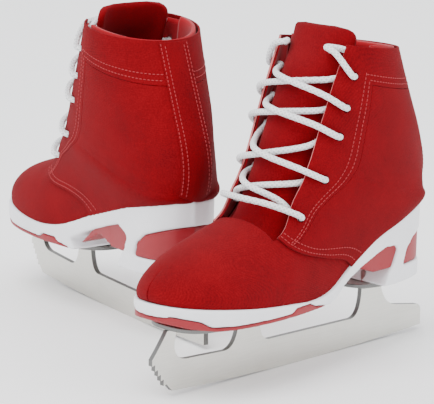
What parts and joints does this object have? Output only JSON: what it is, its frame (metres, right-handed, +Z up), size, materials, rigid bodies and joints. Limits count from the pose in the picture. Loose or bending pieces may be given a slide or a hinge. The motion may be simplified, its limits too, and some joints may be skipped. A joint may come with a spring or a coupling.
{
  "type": "ice figure skates",
  "caption": "Pair of laced ice skates: fabric boots on moulded two-colour heeled soles, each screwed to a steel blade with a toothed toe.",
  "frame": {"origin": "middle of the pair's footprint, on the ice", "axes": "+Z up, +X the way the left skate heads, +Y to the left skate's outer side; the right skate heads mostly along -Y"},
  "size_m": [0.2752, 0.3832, 0.2397],
  "materials": {
    "upper_fabric": "matte woven fabric",
    "lining": "smooth knitted lining",
    "reinforcement": "pressed fibre board",
    "sole_shell": "moulded, satin",
    "sole_tread": "moulded, satin",
    "lace": "round braid",
    "blade_steel": "satin ground",
    "screw_steel": "plated"
  },
  "bodies": {
    "left_skate": {"left_toe_vamp": "upper_fabric", "left_lateral_quarter": "upper_fabric", "left_medial_quarter": "upper_fabric", "left_lateral_eyestay": "upper_fabric", "left_medial_eyestay": "upper_fabric", "left_back_stay": "upper_fabric", "left_collar_lining": "lining", "left_vamp_lining": "lining", "left_toe_puff": "reinforcement", "left_heel_counter": "reinforcement", "left_lateral_eyelet_strip": "reinforcement", "left_medial_eyelet_strip": "reinforcement", "left_insole_board": "reinforcement", "left_footbed": "lining", "left_outsole_shell": "sole_shell", "left_forefoot_tread": "sole_tread", "left_arch_core": "sole_tread", "left_heel_insert": "sole_tread", "left_blade": "blade_steel", "left_toe_plate": "blade_steel", "left_heel_plate": "blade_steel", "left_lace": "lace", "left_toe_screw_1": "screw_steel", "left_toe_screw_2": "screw_steel", "left_toe_screw_3": "screw_steel", "left_toe_screw_4": "screw_steel", "left_heel_screw_1": "screw_steel", "left_heel_screw_2": "screw_steel", "left_heel_screw_3": "screw_steel"},
    "left_tongue": {"left_tongue": "upper_fabric"},
    "right_skate": {"right_toe_vamp": "upper_fabric", "right_lateral_quarter": "upper_fabric", "right_medial_quarter": "upper_fabric", "right_lateral_eyestay": "upper_fabric", "right_medial_eyestay": "upper_fabric", "right_back_stay": "upper_fabric", "right_collar_lining": "lining", "right_vamp_lining": "lining", "right_toe_puff": "reinforcement", "right_heel_counter": "reinforcement", "right_lateral_eyelet_strip": "reinforcement", "right_medial_eyelet_strip": "reinforcement", "right_insole_board": "reinforcement", "right_footbed": "lining", "right_outsole_shell": "sole_shell", "right_forefoot_tread": "sole_tread", "right_arch_core": "sole_tread", "right_heel_insert": "sole_tread", "right_blade": "blade_steel", "right_toe_plate": "blade_steel", "right_heel_plate": "blade_steel", "right_lace": "lace", "right_toe_screw_1": "screw_steel", "right_toe_screw_2": "screw_steel", "right_toe_screw_3": "screw_steel", "right_toe_screw_4": "screw_steel", "right_heel_screw_1": "screw_steel", "right_heel_screw_2": "screw_steel", "right_heel_screw_3": "screw_steel"},
    "right_tongue": {"right_tongue": "upper_fabric"}
  },
  "joints": [
    {"name": "left_tongue_fold", "type": "hinge", "parent": "left_skate", "child": "left_tongue", "pos_m": [0.06285, 0.14528, 0.097], "axis": [0, -1, 0], "range_deg": [0, 5]},
    {"name": "right_tongue_fold", "type": "hinge", "parent": "right_skate", "child": "right_tongue", "pos_m": [-0.026, -0.11838, 0.097], "axis": [-0.9763, 0.2164, 0], "range_deg": [0, 5]},
    {"name": "right_skate_lift", "type": "slide", "parent": "left_skate", "child": "right_skate", "axis": [0, 0, 1], "range_m": [0, 0.25]}
  ]
}
